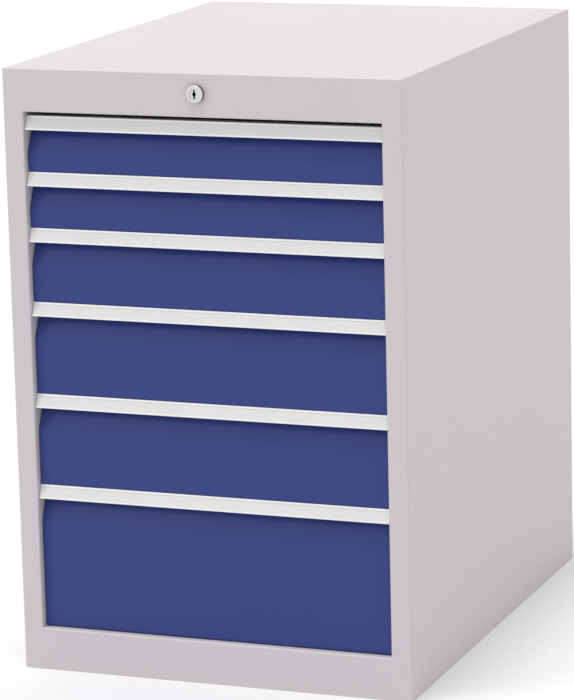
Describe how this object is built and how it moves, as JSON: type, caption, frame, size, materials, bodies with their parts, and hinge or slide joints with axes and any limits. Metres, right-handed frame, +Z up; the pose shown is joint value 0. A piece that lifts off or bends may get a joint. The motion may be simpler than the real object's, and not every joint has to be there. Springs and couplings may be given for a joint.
{
  "type": "drawer cabinet",
  "caption": "Upright steel drawer cabinet: pale grey carcass, blue drawer fronts under full-width grip handles, roller slides with full pull-out, and one central lock.",
  "frame": {"origin": "centre of the footprint, on the floor", "axes": "+Z up, the drawers open towards -Y, +X to the right as seen from the front"},
  "size_m": [0.555, 0.742, 0.819],
  "materials": {
    "carcass_grey": "satin powder coat",
    "front_blue": "satin powder coat",
    "tray_grey": "satin powder coat",
    "handle_aluminium": "anodised, satin",
    "label_white": "matte",
    "zinc_steel": "zinc plated",
    "roller_nylon": "smooth moulded",
    "lock_nickel": "satin nickel plate"
  },
  "bodies": {
    "cabinet": {"side_panel_left": "carcass_grey", "side_panel_right": "carcass_grey", "back_panel": "carcass_grey", "top_panel": "carcass_grey", "header_rail": "carcass_grey", "base_rail": "carcass_grey", "bottom_panel": "carcass_grey", "runner_posts_left": "zinc_steel", "runner_posts_right": "zinc_steel", "cabinet_rails_left": "zinc_steel", "cabinet_rails_right": "zinc_steel", "rail_screws": "zinc_steel", "lock_housing": "lock_nickel", "lock_nut": "zinc_steel", "bar_guides": "zinc_steel"},
    "lock": {"lock_plug": "lock_nickel", "lock_shaft": "zinc_steel"},
    "locking_bar": {"locking_bar": "zinc_steel"},
    "drawer_1": {"drawer_1_front": "front_blue", "drawer_1_tray": "tray_grey", "drawer_1_handle": "handle_aluminium", "drawer_1_label_strip": "label_white", "drawer_1_rails": "zinc_steel"},
    "carriage_1": {"drawer_1_carriages": "zinc_steel", "drawer_1_rollers": "roller_nylon"},
    "drawer_2": {"drawer_2_front": "front_blue", "drawer_2_tray": "tray_grey", "drawer_2_handle": "handle_aluminium", "drawer_2_label_strip": "label_white", "drawer_2_rails": "zinc_steel"},
    "carriage_2": {"drawer_2_carriages": "zinc_steel", "drawer_2_rollers": "roller_nylon"},
    "drawer_3": {"drawer_3_front": "front_blue", "drawer_3_tray": "tray_grey", "drawer_3_handle": "handle_aluminium", "drawer_3_label_strip": "label_white", "drawer_3_rails": "zinc_steel"},
    "carriage_3": {"drawer_3_carriages": "zinc_steel", "drawer_3_rollers": "roller_nylon"},
    "drawer_4": {"drawer_4_front": "front_blue", "drawer_4_tray": "tray_grey", "drawer_4_handle": "handle_aluminium", "drawer_4_label_strip": "label_white", "drawer_4_rails": "zinc_steel"},
    "carriage_4": {"drawer_4_carriages": "zinc_steel", "drawer_4_rollers": "roller_nylon"},
    "drawer_5": {"drawer_5_front": "front_blue", "drawer_5_tray": "tray_grey", "drawer_5_handle": "handle_aluminium", "drawer_5_label_strip": "label_white", "drawer_5_rails": "zinc_steel"},
    "carriage_5": {"drawer_5_carriages": "zinc_steel", "drawer_5_rollers": "roller_nylon"},
    "drawer_6": {"drawer_6_front": "front_blue", "drawer_6_tray": "tray_grey", "drawer_6_handle": "handle_aluminium", "drawer_6_label_strip": "label_white", "drawer_6_rails": "zinc_steel"},
    "carriage_6": {"drawer_6_carriages": "zinc_steel", "drawer_6_rollers": "roller_nylon"}
  },
  "joints": [
    {"name": "lock_turn", "type": "hinge", "parent": "cabinet", "child": "lock", "pos_m": [-0.003, -0.368, 0.793], "axis": [0, 1, 0], "range_deg": [0, 90]},
    {"name": "bar_lift", "type": "slide", "parent": "cabinet", "child": "locking_bar", "axis": [0, 0, 1], "range_m": [0, 0.01414]},
    {"name": "drawer_1_slide", "type": "slide", "parent": "cabinet", "child": "drawer_1", "axis": [0, -1, 0], "range_m": [0, 0.5945]},
    {"name": "carriage_1_slide", "type": "slide", "parent": "cabinet", "child": "carriage_1", "axis": [0, -1, 0], "range_m": [0, 0.29725]},
    {"name": "drawer_2_slide", "type": "slide", "parent": "cabinet", "child": "drawer_2", "axis": [0, -1, 0], "range_m": [0, 0.5945]},
    {"name": "carriage_2_slide", "type": "slide", "parent": "cabinet", "child": "carriage_2", "axis": [0, -1, 0], "range_m": [0, 0.29725]},
    {"name": "drawer_3_slide", "type": "slide", "parent": "cabinet", "child": "drawer_3", "axis": [0, -1, 0], "range_m": [0, 0.5945]},
    {"name": "carriage_3_slide", "type": "slide", "parent": "cabinet", "child": "carriage_3", "axis": [0, -1, 0], "range_m": [0, 0.29725]},
    {"name": "drawer_4_slide", "type": "slide", "parent": "cabinet", "child": "drawer_4", "axis": [0, -1, 0], "range_m": [0, 0.5945]},
    {"name": "carriage_4_slide", "type": "slide", "parent": "cabinet", "child": "carriage_4", "axis": [0, -1, 0], "range_m": [0, 0.29725]},
    {"name": "drawer_5_slide", "type": "slide", "parent": "cabinet", "child": "drawer_5", "axis": [0, -1, 0], "range_m": [0, 0.5945]},
    {"name": "carriage_5_slide", "type": "slide", "parent": "cabinet", "child": "carriage_5", "axis": [0, -1, 0], "range_m": [0, 0.29725]},
    {"name": "drawer_6_slide", "type": "slide", "parent": "cabinet", "child": "drawer_6", "axis": [0, -1, 0], "range_m": [0, 0.5945]},
    {"name": "carriage_6_slide", "type": "slide", "parent": "cabinet", "child": "carriage_6", "axis": [0, -1, 0], "range_m": [0, 0.29725]}
  ],
  "couplings": [
    {"joint": "lock_turn", "follows": "bar_lift", "rad_per_m": 111.07},
    {"joint": "carriage_1_slide", "follows": "drawer_1_slide", "ratio": 0.5},
    {"joint": "carriage_2_slide", "follows": "drawer_2_slide", "ratio": 0.5},
    {"joint": "carriage_3_slide", "follows": "drawer_3_slide", "ratio": 0.5},
    {"joint": "carriage_4_slide", "follows": "drawer_4_slide", "ratio": 0.5},
    {"joint": "carriage_5_slide", "follows": "drawer_5_slide", "ratio": 0.5},
    {"joint": "carriage_6_slide", "follows": "drawer_6_slide", "ratio": 0.5}
  ]
}
